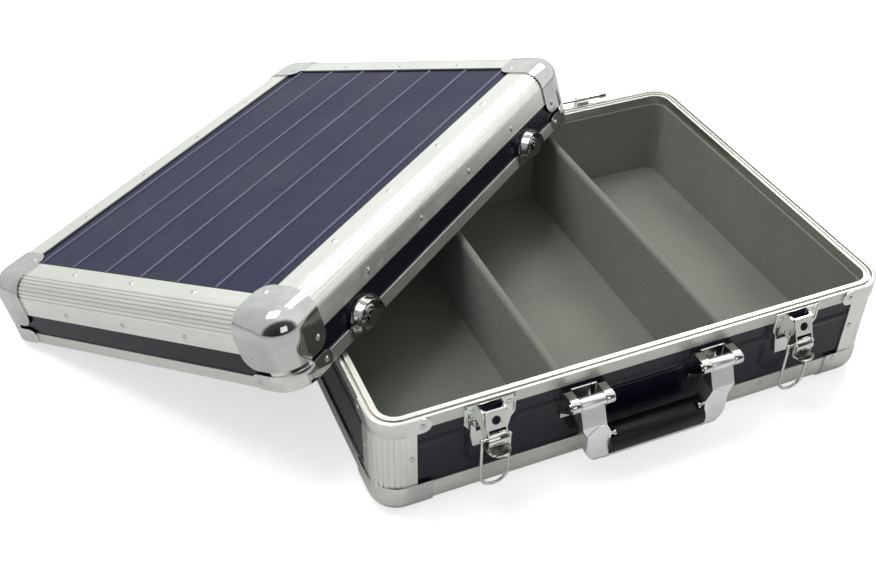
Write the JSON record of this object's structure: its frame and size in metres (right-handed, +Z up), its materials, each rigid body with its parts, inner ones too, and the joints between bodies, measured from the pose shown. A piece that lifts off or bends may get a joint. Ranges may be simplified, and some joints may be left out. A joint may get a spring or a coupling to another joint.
{
  "type": "flight case with take-off lid",
  "caption": "Metal-edged flight case for discs: open base with dividers, drawbolt latches with wire bails, folding handle and pull-pin hinges; its lid is taken off and leans on the base.",
  "frame": {"origin": "middle of the base's underside, on the floor", "axes": "+X along the front towards the right, +Y from front to back, +Z up"},
  "size_m": [0.7179, 0.6476, 0.1778],
  "materials": {
    "navy_panel": "satin",
    "brushed_aluminium": "satin",
    "chromed_steel": "polished",
    "grey_felt": "matte",
    "black_plastic": "satin"
  },
  "bodies": {
    "base": {"base_bottom_board": "navy_panel", "base_board_front": "navy_panel", "base_board_right": "navy_panel", "base_board_back": "navy_panel", "base_board_left": "navy_panel", "base_edge_front": "brushed_aluminium", "base_edge_right": "brushed_aluminium", "base_edge_back": "brushed_aluminium", "base_edge_left": "brushed_aluminium", "base_upright_front_left": "brushed_aluminium", "base_upright_front_right": "brushed_aluminium", "base_upright_back_right": "brushed_aluminium", "base_upright_back_left": "brushed_aluminium", "base_rim": "brushed_aluminium", "base_rim_clamps": "chromed_steel", "base_cap_front_left": "brushed_aluminium", "base_cap_front_right": "brushed_aluminium", "base_cap_back_right": "brushed_aluminium", "base_cap_back_left": "brushed_aluminium", "base_lining": "grey_felt", "divider_left": "grey_felt", "divider_right": "grey_felt", "base_rivets": "chromed_steel", "latch_plate_left": "chromed_steel", "latch_plate_right": "chromed_steel", "handle_bracket_left": "chromed_steel", "handle_bracket_right": "chromed_steel", "handle_pins": "chromed_steel", "hinge_knuckles": "brushed_aluminium"},
    "lid": {"lid_top_board": "navy_panel", "lid_board_front": "navy_panel", "lid_board_right": "navy_panel", "lid_board_back": "navy_panel", "lid_board_left": "navy_panel", "lid_edge_front": "brushed_aluminium", "lid_edge_right": "brushed_aluminium", "lid_edge_back": "brushed_aluminium", "lid_edge_left": "brushed_aluminium", "lid_ball_front_left": "chromed_steel", "lid_ball_front_right": "chromed_steel", "lid_ball_back_right": "chromed_steel", "lid_ball_back_left": "chromed_steel", "lid_rim": "brushed_aluminium", "lid_corner_posts": "chromed_steel", "lid_lining": "grey_felt", "lid_keeper_left": "chromed_steel", "lid_keeper_right": "chromed_steel", "lid_hinge_leaves": "brushed_aluminium", "lid_rivets": "chromed_steel"},
    "latch_lever_left": {"latch_lever_left": "chromed_steel"},
    "latch_lever_right": {"latch_lever_right": "chromed_steel"},
    "latch_bail_left": {"latch_bail_left": "chromed_steel"},
    "latch_bail_right": {"latch_bail_right": "chromed_steel"},
    "latch_lock_left": {"latch_lock_left": "black_plastic"},
    "latch_lock_right": {"latch_lock_right": "black_plastic"},
    "handle": {"handle_frame": "chromed_steel", "handle_grip": "black_plastic", "handle_screws": "chromed_steel"},
    "hinge_pin_left": {"hinge_pin_left": "chromed_steel"},
    "hinge_pin_right": {"hinge_pin_right": "chromed_steel"}
  },
  "joints": [
    {"name": "lid_lift_off", "type": "slide", "parent": "base", "child": "lid", "axis": [0, 0, 1], "range_m": [0, 0.16]},
    {"name": "latch_lever_left_swing", "type": "hinge", "parent": "base", "child": "latch_lever_left", "pos_m": [-0.142, -0.189, 0.095], "axis": [1, 0, 0], "range_deg": [-115, 0]},
    {"name": "latch_bail_left_swing", "type": "hinge", "parent": "latch_lever_left", "child": "latch_bail_left", "pos_m": [-0.142, -0.1955, 0.073], "axis": [-1, 0, 0], "range_deg": [0, 175]},
    {"name": "latch_lock_left_turn", "type": "hinge", "parent": "latch_lever_left", "child": "latch_lock_left", "pos_m": [-0.142, -0.19451, 0.09101], "axis": [0, -0.9337, 0.3581], "range_deg": [0, 90]},
    {"name": "latch_lever_right_swing", "type": "hinge", "parent": "base", "child": "latch_lever_right", "pos_m": [0.142, -0.189, 0.095], "axis": [1, 0, 0], "range_deg": [-115, 0]},
    {"name": "latch_bail_right_swing", "type": "hinge", "parent": "latch_lever_right", "child": "latch_bail_right", "pos_m": [0.142, -0.1955, 0.073], "axis": [-1, 0, 0], "range_deg": [0, 175]},
    {"name": "latch_lock_right_turn", "type": "hinge", "parent": "latch_lever_right", "child": "latch_lock_right", "pos_m": [0.142, -0.19451, 0.09101], "axis": [0, -0.9337, 0.3581], "range_deg": [0, 90]},
    {"name": "handle_swing", "type": "hinge", "parent": "base", "child": "handle", "pos_m": [0, -0.1965, 0.0815], "axis": [-1, 0, 0], "range_deg": [0, 95]},
    {"name": "hinge_pin_left_pull", "type": "slide", "parent": "base", "child": "hinge_pin_left", "axis": [-1, 0, 0], "range_m": [0, 0.018]},
    {"name": "hinge_pin_right_pull", "type": "slide", "parent": "base", "child": "hinge_pin_right", "axis": [1, 0, 0], "range_m": [0, 0.018]}
  ]
}
